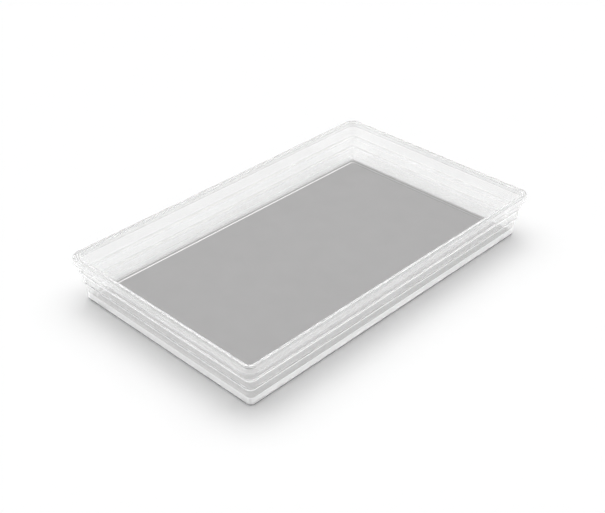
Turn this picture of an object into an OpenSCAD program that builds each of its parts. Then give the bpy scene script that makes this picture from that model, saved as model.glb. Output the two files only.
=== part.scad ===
// Clear letter tray: a shallow open tray with stepped, drafted walls and a
// flat-topped rim, a soft-grip liner on its floor and four non-slip feet.
// X runs along the long side, Y along the short side and Z up.
// The origin is on the table, under the middle of the tray.

/* [Overall] */
// Length over the rim
rim_length = 390; // [320:1:470]
// Width over the rim
rim_width = 240; // [190:1:300]
// Height from the table to the top of the rim
tray_height = 47.3; // [42:0.1:60]

/* [Rim] */
// Width of the flat top of the rim
rim_top_width = 5.3; // [4.8:0.1:7]
// Thickness of the flat top of the rim
rim_top_thickness = 1.9; // [1.4:0.1:2.4]
// Height of the skirt that hangs from the outer edge of the rim
skirt_height = 6.8; // [4:0.1:9]
// Thickness of the skirt
skirt_wall = 1.6; // [1.2:0.1:1.8]
// Corner radius of the rim, seen from above
rim_corner_radius = 11; // [9:0.5:16]

/* [Walls] */
// Thickness of the walls
wall = 1.9; // [1.4:0.1:2.2]
// Draft of the walls, in degrees
draft_angle = 2.5; // [1:0.25:3]
// Height of the upper step above the table
upper_step_height = 29.8; // [24:0.1:35]
// Height of the lower step above the table
lower_step_height = 18.3; // [12:0.1:21]
// How far each step moves the wall inwards
step_depth = 1.7; // [0.8:0.1:1.8]
// Outer corner radius of the wall under the rim, at its top
upper_corner_radius = 7.6; // [6:0.1:12]
// Outer corner radius of the wall between the steps, at its top
middle_corner_radius = 6.4; // [5:0.1:10]
// Outer corner radius of the wall under the lower step, at its top
lower_corner_radius = 5.6; // [4.5:0.1:9]

/* [Base] */
// Thickness of the floor
floor_thickness = 1.6; // [1.2:0.1:2.4]
// How far the edge of the base reaches below the floor
base_ring_drop = 0.6; // [0.3:0.1:1]
// Width of the edge of the base
base_ring_width = 2.6; // [2:0.1:4]
// Diameter of the dimple under the middle of the floor, left by moulding
gate_dimple_diameter = 8; // [6:0.5:12]
// Depth of that dimple
gate_dimple_depth = 0.5; // [0.2:0.1:0.8]

/* [Liner] */
// Thickness of the liner at its border
liner_thickness = 1.3; // [1.1:0.1:2]
// Gap between the liner and the walls
liner_gap = 0.3; // [0.2:0.1:1]
// Width of the raised border of the liner
liner_border_width = 6; // [4:0.5:12]
// How far the middle of the liner lies below its border
liner_recess_depth = 0.6; // [0.3:0.1:0.7]

/* [Feet] */
// Diameter of a foot
foot_diameter = 12; // [9:0.5:16]
// How far a foot reaches below the edge of the base
foot_reach = 0.4; // [0.3:0.1:1.5]
// Distance from the walls to the middle of a foot, at floor level
foot_inset = 14; // [12:0.5:22]
// Chamfer round the face that a foot stands on
foot_chamfer = 0.3; // [0.1:0.05:0.4]
// Gap between a foot and the ring that locates it
foot_ring_gap = 0.15; // [0.1:0.05:0.3]
// Width of the ring that locates a foot
foot_ring_width = 1.4; // [1:0.1:2]
// Height of the ring that locates a foot
foot_ring_height = 0.5; // [0.3:0.1:0.6]

/* [Hidden] */
$fn = 96;

cut = 1;                    // how far a cutter runs past the face that it opens
least_radius = 0.8;         // smallest corner radius that an inner outline may have
draft = tan(draft_angle);   // how far a wall leans in for each millimetre down

// Heights above the table
base_z = foot_reach;
floor_under_z = base_z + base_ring_drop;
floor_top_z = floor_under_z + floor_thickness;
skirt_bottom_z = tray_height - skirt_height;

// Outer face of each wall at its top: [height, distance in from the rim's outline, corner radius]
upper_top = [tray_height, rim_top_width - wall, upper_corner_radius];
middle_top = [
    upper_step_height,
    inset_at(upper_top, upper_step_height) + step_depth,
    middle_corner_radius
];
lower_top = [
    lower_step_height,
    inset_at(middle_top, lower_step_height) + step_depth,
    lower_corner_radius
];

// The foot of the walls, outside and inside
base_inset = inset_at(lower_top, base_z);
base_radius = radius_at(lower_top, base_z);
floor_inset = inset_at(inner(lower_top), floor_top_z);
floor_radius = radius_at(inner(lower_top), floor_top_z);

liner_top_z = floor_top_z + liner_thickness;
liner_inset = floor_inset + liner_gap;
liner_radius = inner_radius(floor_radius, liner_gap);

// A leaning face at height z: how far in it is, and its corner radius there
function inset_at(face, z) = to_micron(face[1] + draft * (face[0] - z));
function radius_at(face, z) = max(to_micron(face[2] - draft * (face[0] - z)), least_radius);

// Rounds a length to a thousandth of a millimetre, so that outlines close exactly
function to_micron(length) = round(length * 1000) / 1000;

// The inner face that runs one wall thickness inside an outer face
function inner(face) = [face[0], face[1] + wall, inner_radius(face[2], wall)];
function inner_radius(radius, distance) = max(radius - distance, least_radius);

// Outline of a rounded rectangle, a given distance in from the rim's outline
module outline(inset, radius) {
    a = rim_length / 2 - inset;
    b = rim_width / 2 - inset;
    square([2 * a, 2 * (b - radius)], center = true);
    square([2 * (a - radius), 2 * b], center = true);
    for (x = [-1, 1], y = [-1, 1])
        translate([x * (a - radius), y * (b - radius)])
            circle(r = radius);
}

// Block with upright sides
module upright_block(top_z, bottom_z, inset, radius) {
    translate([0, 0, bottom_z])
        linear_extrude(height = top_z - bottom_z)
            outline(inset, radius);
}

// Block whose sides follow a leaning face between two heights
module leaning_block(top_z, bottom_z, face) {
    h = top_z - bottom_z;
    low_radius = radius_at(face, bottom_z);
    radius = low_radius + draft * h;
    core = low_radius / 2;
    a = rim_length / 2 - inset_at(face, top_z) - radius;
    b = rim_width / 2 - inset_at(face, top_z) - radius;
    translate([0, 0, bottom_z]) {
        translate([-a - core, -b - core, 0])
            cube([2 * (a + core), 2 * (b + core), h]);
        for (turn = [0, 180])
            rotate(turn) {
                translate([a, 0, 0])
                    leaning_side(h, low_radius, 2 * b);
                translate([0, b, 0])
                    rotate(90)
                        leaning_side(h, low_radius, 2 * a);
                translate([a, b, 0])
                    leaning_corner(h, low_radius);
                translate([-a, b, 0])
                    rotate(90)
                        leaning_corner(h, low_radius);
            }
    }
}

// Section of a leaning side or corner, which starts inside the core of the block
module leaning_section(h, low_radius) {
    start = low_radius / 4;
    polygon([[start, 0], [low_radius, 0], [low_radius + draft * h, h], [start, h]]);
}

module leaning_side(h, low_radius, length) {
    rotate([90, 0, 0])
        linear_extrude(height = length, center = true)
            leaning_section(h, low_radius);
}

module leaning_corner(h, low_radius) {
    rotate_extrude(angle = 90)
        leaning_section(h, low_radius);
}

// Places a child over one foot
module at_foot(side_x, side_y) {
    reach = floor_inset + foot_inset;
    translate([side_x * (rim_length / 2 - reach), side_y * (rim_width / 2 - reach), 0])
        children();
}

// Flat rim with its skirt, as a downturned lip that is open below
module rim() {
    difference() {
        upright_block(tray_height, skirt_bottom_z, 0, rim_corner_radius);
        upright_block(
            tray_height - rim_top_thickness,
            skirt_bottom_z - cut,
            skirt_wall,
            inner_radius(rim_corner_radius, skirt_wall)
        );
    }
}

// The three walls and the floor, filled solid
module filled_walls() {
    leaning_block(tray_height, upper_step_height, upper_top);
    leaning_block(upper_step_height, lower_step_height, middle_top);
    leaning_block(lower_step_height, base_z, lower_top);
}

// The space inside the tray, with a ledge one wall above each step
module inside() {
    upper_ledge_z = upper_step_height + wall;
    lower_ledge_z = lower_step_height + wall;
    leaning_block(tray_height + cut, upper_ledge_z, inner(upper_top));
    leaning_block(upper_ledge_z, lower_ledge_z, inner(middle_top));
    leaning_block(lower_ledge_z, floor_top_z, inner(lower_top));
}

// The shallow space under the floor, inside the edge of the base
module underside() {
    upright_block(
        floor_under_z,
        base_z - cut,
        base_inset + base_ring_width,
        inner_radius(base_radius, base_ring_width)
    );
    cylinder(h = floor_under_z + gate_dimple_depth, d = gate_dimple_diameter);
}

module foot_ring() {
    foot_hole = foot_diameter + 2 * foot_ring_gap;
    translate([0, 0, floor_under_z - foot_ring_height])
        difference() {
            cylinder(h = foot_ring_height, d = foot_hole + 2 * foot_ring_width);
            translate([0, 0, -cut])
                cylinder(h = foot_ring_height + 2 * cut, d = foot_hole);
        }
}

module tray_body() {
    color([0.9, 0.92, 0.93, 0.35]) {
        difference() {
            union() {
                rim();
                filled_walls();
            }
            inside();
            underside();
        }
        for (x = [-1, 1], y = [-1, 1])
            at_foot(x, y)
                foot_ring();
    }
}

module grip_liner() {
    color([0.67, 0.67, 0.68])
        difference() {
            upright_block(liner_top_z, floor_top_z, liner_inset, liner_radius);
            upright_block(
                liner_top_z + cut,
                liner_top_z - liner_recess_depth,
                liner_inset + liner_border_width,
                inner_radius(liner_radius, liner_border_width)
            );
        }
}

module foot(side_x, side_y) {
    radius = foot_diameter / 2;
    color([0.62, 0.63, 0.64])
        at_foot(side_x, side_y)
            rotate_extrude()
                polygon([
                    [0, 0],
                    [radius - foot_chamfer, 0],
                    [radius, foot_chamfer],
                    [radius, floor_under_z],
                    [0, floor_under_z]
                ]);
}

tray_body();
grip_liner();
foot(-1, -1);  // foot_front_left
foot(1, -1);  // foot_front_right
foot(-1, 1);  // foot_back_left
foot(1, 1);  // foot_back_right
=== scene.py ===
"""A clear letter tray on a white table: the looks of the tray, its soft-grip liner and its feet."""

import math

import bpy
import bmesh
from mathutils import Matrix, Vector


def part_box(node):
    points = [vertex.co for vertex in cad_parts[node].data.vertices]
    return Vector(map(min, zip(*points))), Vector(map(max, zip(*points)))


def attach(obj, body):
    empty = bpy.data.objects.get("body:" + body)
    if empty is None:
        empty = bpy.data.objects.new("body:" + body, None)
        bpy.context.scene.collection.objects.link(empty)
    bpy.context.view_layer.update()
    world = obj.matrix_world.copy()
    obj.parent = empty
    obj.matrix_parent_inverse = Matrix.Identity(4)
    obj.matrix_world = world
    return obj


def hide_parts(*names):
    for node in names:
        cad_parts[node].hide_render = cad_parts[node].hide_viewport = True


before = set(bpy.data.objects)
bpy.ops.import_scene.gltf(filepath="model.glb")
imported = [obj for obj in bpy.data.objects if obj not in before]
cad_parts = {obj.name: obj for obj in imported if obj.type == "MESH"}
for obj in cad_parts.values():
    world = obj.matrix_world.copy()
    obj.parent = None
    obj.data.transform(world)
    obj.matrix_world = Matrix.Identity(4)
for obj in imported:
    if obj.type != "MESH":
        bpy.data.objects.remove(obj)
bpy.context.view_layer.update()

MM = 0.001

# ---------------------------------------------------------------- sizes, in millimetres
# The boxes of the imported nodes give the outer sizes. The wall's section repeats part.scad.
LOW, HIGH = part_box("tray_body")
HAIR = 0.001                # how far the sides stay inside that box, against rounding
HALF_LENGTH = HIGH.x / MM - HAIR
HALF_WIDTH = HIGH.y / MM - HAIR
RIM_TOP = HIGH.z / MM
BASE = LOW.z / MM

WALL = 1.9
RIM_WIDTH = 5.3
RIM_THICKNESS = 1.9
SKIRT_HEIGHT = 6.8
SKIRT_WALL = 1.6
UPPER_STEP = 29.8
LOWER_STEP = 18.3
STEP_DEPTH = 1.7
DRAFT = math.tan(math.radians(2.5))
RIM_RADIUS = 11.0
MIDDLE_RADIUS = 6.4
LOWER_RADIUS = 5.6
RING_WIDTH = 2.6
RING_DROP = 0.6
FLOOR_THICKNESS = 1.6
GATE_DIAMETER = 8.0
GATE_DEPTH = 0.5
FOOT_RING_GAP = 0.15
FOOT_RING_WIDTH = 1.4
FOOT_RING_HEIGHT = 0.5

FLOOR_UNDER = BASE + RING_DROP
FLOOR_TOP = FLOOR_UNDER + FLOOR_THICKNESS

# The soft slope inside each step: how far it reaches above and below the step
SLOPE = 1.4

# Fillets of the section
FLOOR_FILLET = 0.25
SLOPE_FILLET = 3
RIM_INNER_FILLET = 0.25
RIM_FILLET = 1.0
LIP_FILLET = 0.4
STEP_FILLET = 0.5
UNDER_STEP_FILLET = 0.3
FOOT_FILLET = 0.15
RING_FILLET = 0.25
UNDER_FLOOR_FILLET = 0.2

# How far the flat middle of a sheet starts inside the rounded loops round it
FLAT_MARGIN = 6

# The underside's small parts
RING_CHAMFER = 0.1
GATE_CHAMFER = 0.2
NUB_TOP_RADIUS = 1.3
NUB_RADIUS = 0.9
NUB_RISE = 0.2
OVERLAP = 0.1               # how far a joined or cutting piece runs past the face that it meets

# Liner: how far in from its edge, and how far down from its top, the slopes of its border lie
BORDER_EDGE_IN = 0.5
LEDGE_IN, LEDGE_DOWN = 0.9, 0.17
RECESS_EDGE_IN = 3.8
RECESS_IN, RECESS_DOWN = 4.5, 0.6
LEDGE_CORNER, RECESS_CORNER = 3, 6      # how far in the centres of the corners move
LEDGE_FILLET, RECESS_FILLET = 0.05, 0.1
LINER_TOP_FILLET, LINER_FOOT_FILLET = 0.4, 0.1
LINER_MIDDLE, LINER_UNDER = 12, 5       # where the flat middles of its top and underside start
LINER_LIFT = 0.03                       # keeps the underside clear of the floor's top

# Finishes of the tray's faces, and of the liner's
# The second and third finishes of the tray are painted highlights, and the fourth is painted contact shade
CLEAR, EDGE_HIGHLIGHT, BASE_HIGHLIGHT, CONTACT_SHADE = range(4)
# The liner's second finish, a lighter grey on the slopes of its border, is a painted highlight
GRIP, GRIP_SLOPE_HIGHLIGHT = range(2)

# Where the finishes lie on the outside
STEP_EDGE = 0.8             # the painted edge highlight, above a step
STEP_UNDER = 2.4            # the painted edge highlight, below a step
BASE_HIGHLIGHT_TOP = 8.6              # the height at which the painted highlight round the base starts
BASE_HIGHLIGHT_BLEND = 1.2            # its upper part, in the painted edge highlight
CONTACT_SHADE_TALL = 0.75            # the painted contact shade at the foot of the wall, up the wall
CONTACT_SHADE_FLAT = 0.17            # and under it

# Mesh resolution
CORNER_SEGMENTS = 14
FILLET_SEGMENTS = 6
LATHE_SEGMENTS = 48
FILLET_SHARE = 0.48         # the most of a stretch that a fillet may take up
LEAST_RADIUS = 0.05

FEET = ("foot_front_left", "foot_front_right", "foot_back_left", "foot_back_right")


def inset_at(face, z):
    """How far in from the rim's outline a leaning face is at height z."""
    return face[1] + DRAFT * (face[0] - z)


def stepped_in(face, step, radius):
    """The outer face that starts at a step under another one."""
    inset = inset_at(face, step) + STEP_DEPTH
    return (step, inset, inset + radius)


# A wall's outer face: its height and inset at the top, and how far in its corners' centres are
UPPER = (RIM_TOP, RIM_WIDTH - WALL, RIM_RADIUS)
MIDDLE = stepped_in(UPPER, UPPER_STEP, MIDDLE_RADIUS)
LOWER = stepped_in(MIDDLE, LOWER_STEP, LOWER_RADIUS)


# ---------------------------------------------------------------- mesh tools
def rounded(profile):
    """Rounds the corners of an open profile of (inset, z, corner centre, fillet, finish) points.

    A point's finish is that of the stretch that follows it.
    """
    points = []
    for i, (inset, z, centre, fillet, finish) in enumerate(profile):
        here = Vector((inset, z))
        if fillet == 0 or i in (0, len(profile) - 1):
            points.append((inset, z, centre, finish))
            continue
        before = Vector(profile[i - 1][:2]) - here
        after = Vector(profile[i + 1][:2]) - here
        half = before.angle(after) / 2
        most = (FILLET_SHARE * before.length, FILLET_SHARE * after.length)
        reach = min(fillet / math.tan(half), *most)
        radius = reach * math.tan(half)
        inwards = (before.normalized() + after.normalized()).normalized()
        middle = here + inwards * (radius / math.sin(half))
        start = here + before.normalized() * reach - middle
        end = here + after.normalized() * reach - middle
        sweep = start.angle_signed(end)
        for k in range(FILLET_SEGMENTS + 1):
            t = k / FILLET_SEGMENTS
            arm = start.copy()
            arm.rotate(Matrix.Rotation(-sweep * t, 2))
            points.append((middle.x + arm.x, middle.y + arm.y, centre, finish))
    return points


def outline(inset, z, centre):
    """A rounded rectangle at height z, as points in metres."""
    radius = max(centre - inset, LEAST_RADIUS)
    points = []
    for quarter, (sx, sy) in enumerate(((1, 1), (-1, 1), (-1, -1), (1, -1))):
        x = sx * (HALF_LENGTH - inset - radius)
        y = sy * (HALF_WIDTH - inset - radius)
        for k in range(CORNER_SEGMENTS + 1):
            turn = math.radians(90) * (quarter + k / CORNER_SEGMENTS)
            points.append(Vector((x + radius * math.cos(turn), y + radius * math.sin(turn), z)) * MM)
    return points


def add_object(name, data):
    """A new object in the scene."""
    thing = bpy.data.objects.new(name, data)
    bpy.context.scene.collection.objects.link(thing)
    return thing


def add_piece(name, bm):
    """Turns a finished closed bmesh into a piece."""
    bmesh.ops.recalc_face_normals(bm, faces=bm.faces)
    mesh = bpy.data.meshes.new(name)
    bm.to_mesh(mesh)
    bm.free()
    return add_object(name, mesh)


def loft(name, profile):
    """A closed piece round a rounded profile, with its first and last loops filled."""
    bm = bmesh.new()
    rings = [[bm.verts.new(p) for p in outline(inset, z, centre)] for inset, z, centre, _ in profile]
    count = len(rings[0])
    for a, b, (_, _, _, finish) in zip(rings, rings[1:], profile):
        for i in range(count):
            j = (i + 1) % count
            face = bm.faces.new((a[i], a[j], b[j], b[i]))
            face.material_index = finish
    bm.faces.new(list(reversed(rings[0])))
    bm.faces.new(rings[-1])
    return add_piece(name, bm)


def lathe(name, centre, profile):
    """A closed piece turned about an upright axis, from (radius, z) points in order round its section.

    A point of radius 0 lies on the axis and makes one vertex.
    """
    bm = bmesh.new()
    loops = []
    for radius, z in profile:
        axis = Vector((centre.x, centre.y, z))
        if radius == 0:
            loops.append([bm.verts.new(axis * MM)] * LATHE_SEGMENTS)
            continue
        turns = [math.tau * k / LATHE_SEGMENTS for k in range(LATHE_SEGMENTS)]
        arms = [Vector((math.cos(t), math.sin(t), 0)) * radius for t in turns]
        loops.append([bm.verts.new((axis + arm) * MM) for arm in arms])
    for a, b in zip(loops, loops[1:] + loops[:1]):
        for i in range(LATHE_SEGMENTS):
            j = (i + 1) % LATHE_SEGMENTS
            corners = list(dict.fromkeys((a[i], a[j], b[j], b[i])))
            if len(corners) > 2:
                bm.faces.new(corners)
    return add_piece(name, bm)


def combine(piece, tool, operation):
    """Joins a tool to a piece or cuts it out, and removes the tool."""
    change = piece.modifiers.new(tool.name, "BOOLEAN")
    change.operation = operation
    change.solver = "EXACT"
    change.object = tool
    mesh = bpy.data.meshes.new_from_object(piece.evaluated_get(bpy.context.evaluated_depsgraph_get()))
    piece.modifiers.clear()
    piece.data = mesh
    bpy.data.objects.remove(tool)


def smooth(piece):
    """Smooth shading that leaves the flat faces flat."""
    for face in piece.data.polygons:
        face.use_smooth = True
    flat = piece.modifiers.new("flat faces", "WEIGHTED_NORMAL")
    flat.keep_sharp = True
    flat.weight = 50


# ---------------------------------------------------------------- tray body
def on_wall(face, z, fillet=0, finish=CLEAR, inwards=0):
    """A point of the section at height z on a wall's outer face, or this far inwards of it."""
    return (inset_at(face, z) + inwards, z, face[2], fillet, finish)


def inner_section():
    """From the floor up the inside of the walls, with a soft slope at each step."""
    corner = on_wall(LOWER, FLOOR_TOP, FLOOR_FILLET, inwards=WALL)
    return [
        (corner[0] + FLAT_MARGIN, FLOOR_TOP, LOWER[2] + FLAT_MARGIN, 0, CLEAR),
        corner,
        on_wall(LOWER, LOWER_STEP - SLOPE, SLOPE_FILLET, inwards=WALL),
        on_wall(MIDDLE, LOWER_STEP + SLOPE, SLOPE_FILLET, inwards=WALL),
        on_wall(MIDDLE, UPPER_STEP - SLOPE, SLOPE_FILLET, inwards=WALL),
        on_wall(UPPER, UPPER_STEP + SLOPE, SLOPE_FILLET, inwards=WALL),
    ]


def rim_section():
    """Over the flat rim, down its skirt, and up inside the skirt to the wall."""
    lip_top = RIM_TOP - RIM_THICKNESS
    skirt_bottom = RIM_TOP - SKIRT_HEIGHT
    return [
        (RIM_WIDTH, RIM_TOP, UPPER[2], RIM_INNER_FILLET, CLEAR),
        (0, RIM_TOP, UPPER[2], RIM_FILLET, CLEAR),
        (0, skirt_bottom, UPPER[2], LIP_FILLET, CLEAR),
        (SKIRT_WALL, skirt_bottom, UPPER[2], LIP_FILLET, CLEAR),
        (SKIRT_WALL, lip_top, UPPER[2], LIP_FILLET, CLEAR),
        on_wall(UPPER, lip_top, LIP_FILLET),
    ]


def step_section(above, below, step):
    """Down the outside over one step, with the painted edge highlight on both sides of it."""
    return [
        on_wall(above, step + STEP_EDGE, finish=EDGE_HIGHLIGHT),
        on_wall(above, step, STEP_FILLET, EDGE_HIGHLIGHT),
        on_wall(below, step, UNDER_STEP_FILLET, EDGE_HIGHLIGHT),
        on_wall(below, step - STEP_UNDER),
    ]


def base_section():
    """The painted highlight round the base, the painted contact shade at the foot of the wall, the base's
    edge and the floor's underside.
    """
    base_inset = inset_at(LOWER, BASE)
    ring_inset = base_inset + RING_WIDTH
    return [
        on_wall(LOWER, BASE_HIGHLIGHT_TOP, finish=EDGE_HIGHLIGHT),
        on_wall(LOWER, BASE_HIGHLIGHT_TOP - BASE_HIGHLIGHT_BLEND, finish=BASE_HIGHLIGHT),
        on_wall(LOWER, BASE + CONTACT_SHADE_TALL, finish=CONTACT_SHADE),
        (base_inset, BASE, LOWER[2], FOOT_FILLET, CONTACT_SHADE),
        (base_inset + CONTACT_SHADE_FLAT, BASE, LOWER[2], 0, CLEAR),
        (ring_inset, BASE, LOWER[2], RING_FILLET, CLEAR),
        (ring_inset, FLOOR_UNDER, LOWER[2], UNDER_FLOOR_FILLET, CLEAR),
        (ring_inset + FLAT_MARGIN, FLOOR_UNDER, LOWER[2] + FLAT_MARGIN, 0, CLEAR),
    ]


def tray_section():
    """The whole section of the tray, from the floor's top round to its underside."""
    steps = step_section(UPPER, MIDDLE, UPPER_STEP) + step_section(MIDDLE, LOWER, LOWER_STEP)
    return inner_section() + rim_section() + steps + base_section()


def make_foot_ring(name):
    """The low ring that locates the foot of this name under the floor."""
    low, high = (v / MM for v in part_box(name))
    inner = (high.x - low.x) / 2 + FOOT_RING_GAP
    outer = inner + FOOT_RING_WIDTH
    low_z, high_z = FLOOR_UNDER - FOOT_RING_HEIGHT, FLOOR_UNDER + OVERLAP
    return lathe(name + "_ring", (low + high) / 2, [
        (inner, high_z),
        (inner, low_z + RING_CHAMFER),
        (inner + RING_CHAMFER, low_z),
        (outer - RING_CHAMFER, low_z),
        (outer, low_z + RING_CHAMFER),
        (outer, high_z),
    ])


def make_gate_dimple():
    """The cutter for the dimple under the middle of the floor, with the nub left where plastic came in."""
    edge, top, nub = GATE_DIAMETER / 2, FLOOR_UNDER + GATE_DEPTH, FLOOR_UNDER + NUB_RISE
    return lathe("gate_dimple", Vector((0, 0, 0)), [
        (0, FLOOR_UNDER - OVERLAP),
        (edge, FLOOR_UNDER - OVERLAP),
        (edge, top - GATE_CHAMFER),
        (edge - GATE_CHAMFER, top),
        (NUB_TOP_RADIUS, top),
        (NUB_RADIUS, nub),
        (0, nub),
    ])


def make_tray():
    tray = loft("tray_shell", rounded(tray_section()))
    for foot in FEET:
        combine(tray, make_foot_ring(foot), "UNION")
    combine(tray, make_gate_dimple(), "DIFFERENCE")
    smooth(tray)
    return tray


# ---------------------------------------------------------------- liner
def make_liner():
    """The soft sheet: a thin raised edge, a ledge just under it, and the recessed middle, with a painted
    highlight, a lighter grey, on the slopes between them.
    """
    low, high = (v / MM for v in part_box("grip_liner"))
    liner_inset = HALF_LENGTH - high.x

    def point(inwards, z, corner_in, fillet, finish):
        return (liner_inset + inwards, z, LOWER[2] + corner_in, fillet, finish)

    top, ledge, recess, under = high.z, high.z - LEDGE_DOWN, high.z - RECESS_DOWN, low.z + LINER_LIFT
    liner = loft("grip_liner_sheet", rounded([
        point(LINER_MIDDLE, recess, LINER_MIDDLE, 0, GRIP),
        point(RECESS_IN, recess, RECESS_CORNER, RECESS_FILLET, GRIP_SLOPE_HIGHLIGHT),
        point(RECESS_EDGE_IN, ledge, RECESS_CORNER, RECESS_FILLET, GRIP),
        point(LEDGE_IN, ledge, LEDGE_CORNER, LEDGE_FILLET, GRIP_SLOPE_HIGHLIGHT),
        point(BORDER_EDGE_IN, top, LEDGE_CORNER, LEDGE_FILLET, GRIP),
        point(0, top, 0, LINER_TOP_FILLET, GRIP),
        point(0, under, 0, LINER_FOOT_FILLET, GRIP),
        point(LINER_UNDER, under, LINER_UNDER, 0, GRIP),
    ]))
    smooth(liner)
    return liner


# ---------------------------------------------------------------- materials
# The tray's finishes, in the order of their numbers: name, haze, and the share of light that a wall lets
# through. The edge and base finishes are painted highlights: frosted strips, bright under the lamps, that
# stand for the glints on the steps' edges and for the light carried along the floor to the base. The dark
# foot of the
# wall is painted shade: it stands for the thin line of shade where the tray meets the table.
PLASTICS = (
    ("clear_plastic", 0.12, 0.935),
    ("painted_edge_highlight", 0.5, 0.99),
    ("painted_base_highlight", 0.45, 0.99),
    ("painted_contact_shade", 0.5, 0.1),
)
PLASTIC_IOR = 1.49
PLASTIC_ROUGHNESS = (0.01, 0.035)
MARKS_SCALE = 700           # fine handling marks, bumps per metre
FLOW_SCALE = 35             # faint flow marks
FLOW_HEIGHT, FLOW_STRENGTH = 0.02, 0.2
FLOW_DARK = 0.99            # the tone of a flow mark, as a share of the rest

# A ray is dropped at its fifth reflection, which would blacken the plastic's edges. So past the fourth
# reflection the surface glows with a share of the light that it would have reflected.
DEEP = 3.5
GLOW = 0.63

# The lighter grey of the liner's border slopes is a painted highlight
GRIP_TONE, GRIP_SLOPE_HIGHLIGHT_TONE, FOOT_TONE = 0.43, 0.72, 0.36
RUBBER_ROUGHNESS = (0.52, 0.7)
GRAIN_SCALE = 1600
GRAIN_HEIGHT, GRAIN_STRENGTH = 0.12, 0.35
MOTTLE_SCALE = 40
MOTTLE_DARK, MOTTLE_LIGHT = (0.99, 0.98, 0.98), (1.02, 1.01, 1.01)

NOISE_LOW, NOISE_HIGH = 0.3, 0.7        # the part of a noise's range that is used


def new_material(name):
    material = bpy.data.materials.new(name)
    material.use_nodes = True
    nodes = material.node_tree.nodes
    return material, nodes, material.node_tree.links, nodes["Principled BSDF"]


def noise(nodes, links, scale, detail=2):
    """A noise that lies in the piece, with this many bumps per metre."""
    place = nodes.new("ShaderNodeTexCoord")
    texture = nodes.new("ShaderNodeTexNoise")
    texture.inputs["Scale"].default_value = scale
    texture.inputs["Detail"].default_value = detail
    links.new(place.outputs["Object"], texture.inputs["Vector"])
    return texture.outputs["Fac"]


def ranged(nodes, links, value, low, high, socket):
    """Drives a number of the shader with a noise, between low and high."""
    spread = nodes.new("ShaderNodeMapRange")
    spread.inputs["From Min"].default_value = NOISE_LOW
    spread.inputs["From Max"].default_value = NOISE_HIGH
    spread.inputs["To Min"].default_value = low
    spread.inputs["To Max"].default_value = high
    links.new(value, spread.inputs["Value"])
    links.new(spread.outputs["Result"], socket)


def tinted(nodes, links, value, dark, light, socket):
    """Drives a colour of the shader with a noise, from dark to light."""
    ramp = nodes.new("ShaderNodeValToRGB")
    ramp.color_ramp.elements[0].position = NOISE_LOW
    ramp.color_ramp.elements[0].color = (*dark, 1)
    ramp.color_ramp.elements[1].position = NOISE_HIGH
    ramp.color_ramp.elements[1].color = (*light, 1)
    links.new(value, ramp.inputs["Fac"])
    links.new(ramp.outputs["Color"], socket)


def bumped(nodes, links, value, height, strength, socket):
    """Drives the normal of the shader with a noise of this height, in millimetres."""
    bump = nodes.new("ShaderNodeBump")
    bump.inputs["Strength"].default_value = strength
    bump.inputs["Distance"].default_value = height * MM
    links.new(value, bump.inputs["Height"])
    links.new(bump.outputs["Normal"], socket)


def calculated(nodes, links, operation, first, second):
    """The result of a Math node on a socket and another socket or a number."""
    node = nodes.new("ShaderNodeMath")
    node.operation = operation
    links.new(first, node.inputs[0])
    if isinstance(second, float):
        node.inputs[1].default_value = second
    else:
        links.new(second, node.inputs[1])
    return node.outputs[0]


def give_back_trapped_light(nodes, links, shader, level):
    """Makes the surface glow, at this level at most, for rays that have no reflection left."""
    path = nodes.new("ShaderNodeLightPath")
    trapped = calculated(nodes, links, "GREATER_THAN", path.outputs["Glossy Depth"], DEEP)
    reflected = nodes.new("ShaderNodeFresnel")
    reflected.inputs["IOR"].default_value = PLASTIC_IOR
    lost = calculated(nodes, links, "MULTIPLY", trapped, reflected.outputs[0])
    shader.inputs["Emission Color"].default_value = (level, level, level, 1)
    links.new(lost, shader.inputs["Emission Strength"])


def clear_plastic(name, haze, tone):
    """Clear moulded plastic: faint flow marks, fine handling marks and some haze."""
    material, nodes, links, shader = new_material(name)
    flow = noise(nodes, links, FLOW_SCALE, 1)
    tinted(nodes, links, flow, [tone * FLOW_DARK] * 3, [tone] * 3, shader.inputs["Base Color"])
    marks = noise(nodes, links, MARKS_SCALE)
    ranged(nodes, links, marks, *PLASTIC_ROUGHNESS, shader.inputs["Roughness"])
    bumped(nodes, links, flow, FLOW_HEIGHT, FLOW_STRENGTH, shader.inputs["Normal"])
    shader.inputs["IOR"].default_value = PLASTIC_IOR
    shader.inputs["Transmission Weight"].default_value = 1 - haze
    give_back_trapped_light(nodes, links, shader, GLOW * tone)
    return material


def soft_rubber(name, tone):
    """Matte soft rubber: a fine grain, a slight mottle and a patchy sheen."""
    material, nodes, links, shader = new_material(name)
    mottle = noise(nodes, links, MOTTLE_SCALE)
    grain = noise(nodes, links, GRAIN_SCALE)
    dark = [tone * share for share in MOTTLE_DARK]
    light = [tone * share for share in MOTTLE_LIGHT]
    tinted(nodes, links, mottle, dark, light, shader.inputs["Base Color"])
    ranged(nodes, links, grain, *RUBBER_ROUGHNESS, shader.inputs["Roughness"])
    bumped(nodes, links, grain, GRAIN_HEIGHT, GRAIN_STRENGTH, shader.inputs["Normal"])
    shader.inputs["Specular IOR Level"].default_value = 0.3
    return material


def paint(piece, *materials):
    """Gives a piece its materials, in the order of its faces' finishes."""
    slots = piece.data.materials
    for i, material in enumerate(materials):
        if i < len(slots):
            slots[i] = material
        else:
            slots.append(material)


# ---------------------------------------------------------------- stage, light and camera
TABLE_HALF = 6.0            # half a side of the table, in metres
TABLE_TONE = 0.97
SKY_LEVEL = 0.4
TABLE_SUN, TABLE_AZIMUTH, TABLE_SPREAD = 2.15, 47, 43
TRAY_SUN, TRAY_AZIMUTH, TRAY_SPREAD = 2.2, 227, 70
LINER_SUN, LINER_AZIMUTH = 4.4, 305
LAMP_DISTANCE = 2           # in metres; a sun shines the same from anywhere

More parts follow.
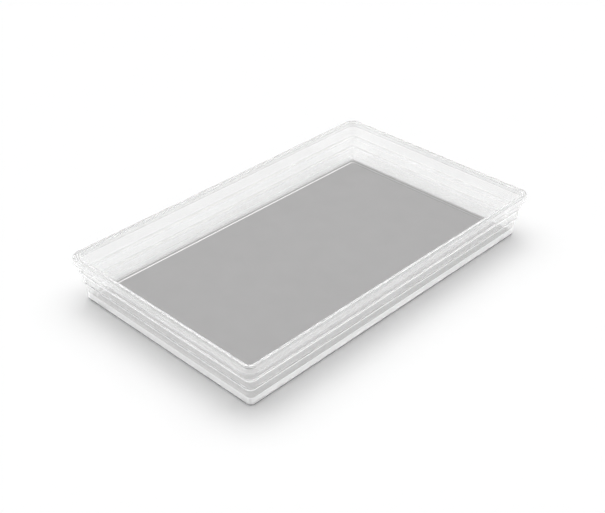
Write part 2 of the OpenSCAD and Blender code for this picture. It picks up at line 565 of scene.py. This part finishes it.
CAMERA_AZIMUTH, CAMERA_ELEVATION = -45.99, 33.44
CAMERA_TARGET = (4.2, 14.1, 0)      # in millimetres
CAMERA_DISTANCE = 1.0787    # in metres
CAMERA_LENS, CAMERA_SENSOR = 64.8, 36


def make_floor():
    mesh = bpy.data.meshes.new("table")
    corners = [(x * TABLE_HALF, y * TABLE_HALF, 0) for x, y in ((-1, -1), (1, -1), (1, 1), (-1, 1))]
    mesh.from_pydata(corners, [], [(0, 1, 2, 3)])
    table = add_object("table", mesh)
    material, nodes, links, shader = new_material("table_white")
    shader.inputs["Base Color"].default_value = (TABLE_TONE, TABLE_TONE, TABLE_TONE, 1)
    shader.inputs["Roughness"].default_value = 0.9
    shader.inputs["Specular IOR Level"].default_value = 0.0
    mesh.materials.append(material)
    return table


def sun(name, azimuth, elevation, width, strength, lit, shading):
    """A wide far light, with the pieces that it lights and the pieces that shade it.

    The azimuth, from +X towards +Y, the elevation and the width are in degrees.
    """
    data = bpy.data.lights.new(name, "SUN")
    data.angle = math.radians(width)
    data.energy = strength
    lamp = add_object(name, data)
    turn, rise = math.radians(azimuth), math.radians(elevation)
    towards = Vector((math.cos(turn) * math.cos(rise), math.sin(turn) * math.cos(rise), math.sin(rise)))
    lamp.location = towards * LAMP_DISTANCE
    lamp.rotation_euler = towards.to_track_quat("Z", "Y").to_euler()
    lamp.visible_glossy = False
    lamp.visible_transmission = False
    for what, pieces in (("receiver", lit), ("blocker", shading)):
        group = bpy.data.collections.new(f"{name}_{what}s")
        for piece in pieces:
            group.objects.link(piece)
        setattr(lamp.light_linking, f"{what}_collection", group)


def make_lights(tray, liner, feet, table):
    """Two lights for the table and the shadow on it, two for the sides of the tray, one for the liner."""
    opaque = [liner] + feet
    sides = (("left", -1), ("right", 1))
    for side, sign in sides:
        sun(
            f"table_light_{side}", TABLE_AZIMUTH + sign * TABLE_SPREAD, elevation=68, width=66,
            strength=TABLE_SUN / 2, lit=[table], shading=[tray] + opaque,
        )
    for side, sign in sides:
        sun(
            f"tray_light_{side}", TRAY_AZIMUTH + sign * TRAY_SPREAD, elevation=20, width=60,
            strength=TRAY_SUN, lit=[tray] + feet, shading=opaque,
        )
    sun(
        "liner_light", LINER_AZIMUTH, elevation=25, width=30,
        strength=LINER_SUN, lit=[liner], shading=opaque,
    )


def make_world(level):
    """An even white sky that lights at one level and shows as white, also in and through the plastic."""
    world = bpy.data.worlds.new("studio")
    world.use_nodes = True
    nodes, links = world.node_tree.nodes, world.node_tree.links
    path = nodes.new("ShaderNodeLightPath")
    seen = path.outputs["Is Camera Ray"]
    for ray in ("Is Glossy Ray", "Is Transmission Ray"):
        seen = calculated(nodes, links, "MAXIMUM", seen, path.outputs[ray])
    unscattered = calculated(nodes, links, "LESS_THAN", path.outputs["Diffuse Depth"], 0.5)
    seen = calculated(nodes, links, "MULTIPLY", seen, unscattered)
    strength = nodes.new("ShaderNodeMix")
    strength.inputs["A"].default_value = level
    strength.inputs["B"].default_value = 1.0
    links.new(seen, strength.inputs["Factor"])
    background = nodes["Background"]
    background.inputs["Color"].default_value = (1, 1, 1, 1)
    links.new(strength.outputs["Result"], background.inputs["Strength"])
    bpy.context.scene.world = world


def make_camera():
    azimuth, elevation = math.radians(CAMERA_AZIMUTH), math.radians(CAMERA_ELEVATION)
    back = Vector((
        math.sin(azimuth) * math.cos(elevation),
        -math.cos(azimuth) * math.cos(elevation),
        math.sin(elevation),
    ))
    data = bpy.data.cameras.new("camera")
    data.sensor_width = CAMERA_SENSOR
    data.lens = CAMERA_LENS
    camera = add_object("camera", data)
    camera.location = Vector(CAMERA_TARGET) * MM + back * CAMERA_DISTANCE
    camera.rotation_euler = back.to_track_quat("Z", "Y").to_euler()
    bpy.context.scene.camera = camera


# ---------------------------------------------------------------- the scene
tray = make_tray()
paint(tray, *[clear_plastic(*finish) for finish in PLASTICS])
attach(tray, "root")
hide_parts("tray_body")

liner = make_liner()
paint(liner, soft_rubber("soft_grip", GRIP_TONE), soft_rubber("soft_grip_painted_highlight", GRIP_SLOPE_HIGHLIGHT_TONE))
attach(liner, "root")
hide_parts("grip_liner")

feet = [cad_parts[name] for name in FEET]
for foot in feet:
    paint(foot, soft_rubber("foot_rubber", FOOT_TONE))

table = make_floor()
make_world(SKY_LEVEL)
make_lights(tray, liner, feet, table)
make_camera()

scene = bpy.context.scene
scene.view_settings.view_transform = "Standard"
